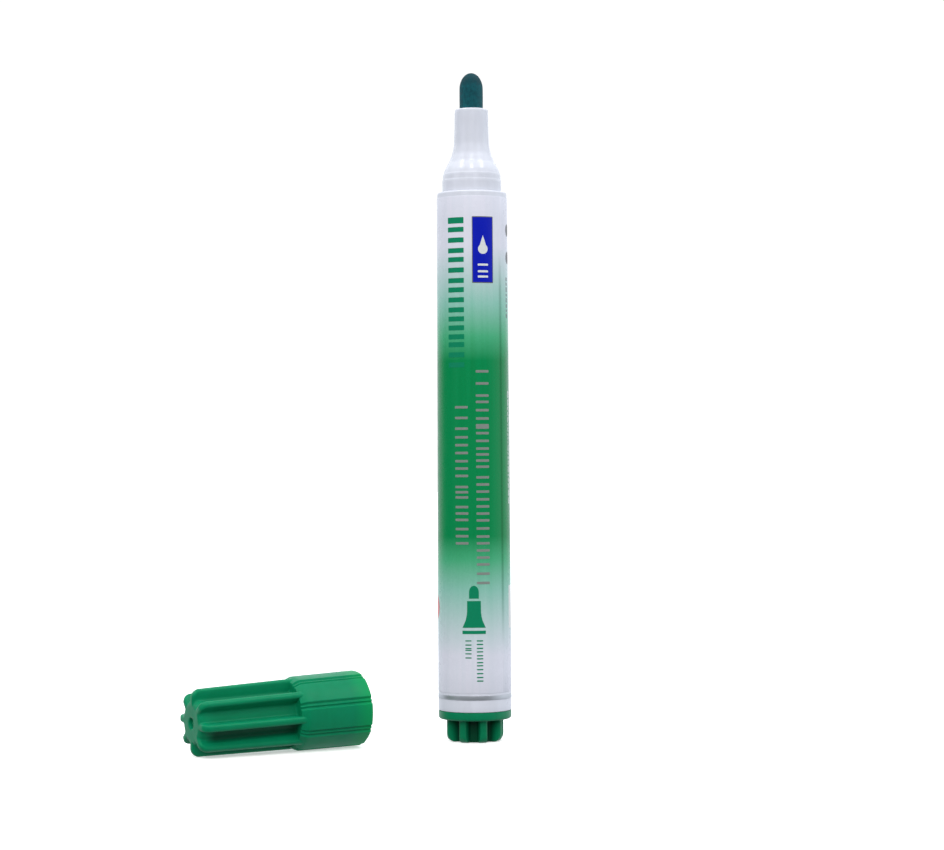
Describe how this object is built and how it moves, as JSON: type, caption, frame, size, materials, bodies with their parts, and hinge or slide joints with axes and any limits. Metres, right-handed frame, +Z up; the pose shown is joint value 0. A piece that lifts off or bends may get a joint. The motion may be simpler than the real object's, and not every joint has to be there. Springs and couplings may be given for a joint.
{
  "type": "whiteboard marker",
  "caption": "Bullet-tip whiteboard marker standing on its ribbed end plug, with its ribbed pull-off cap lying beside it.",
  "frame": {"origin": "centre of the end plug's flat foot, where the standing marker meets the table", "axes": "+Z up the marker's axis to the nib, -Y towards the viewer of the printed side, -X towards the lying cap"},
  "size_m": [0.0678, 0.0398, 0.1417],
  "materials": {
    "plug_green": "satin",
    "barrel_white": "satin",
    "print_green": "satin",
    "silver_foil": "satin",
    "section_white": "satin",
    "nib_felt": "matte",
    "ink_fibre": "matte",
    "clear_wrap": "gloss",
    "cap_green": "satin",
    "seal_white": "matte"
  },
  "bodies": {
    "plug": {"end_plug": "plug_green"},
    "marker": {"barrel": "barrel_white", "print_film": "print_green", "silver_band": "silver_foil", "front_section": "section_white", "nib": "nib_felt", "ink_fibre": "ink_fibre", "fibre_wrap": "clear_wrap"},
    "cap": {"cap_shell": "cap_green", "cap_seal": "seal_white"}
  },
  "joints": [
    {"name": "marker_lift", "type": "slide", "parent": "plug", "child": "marker", "axis": [0, 0, 1], "range_m": [0, 0.038]},
    {"name": "cap_swing", "type": "hinge", "parent": "plug", "child": "cap", "pos_m": [0.04752, 0.03388, 0.06884], "axis": [-0.529, 0.8476, 0.0419], "range_deg": [0, 91.79]}
  ]
}
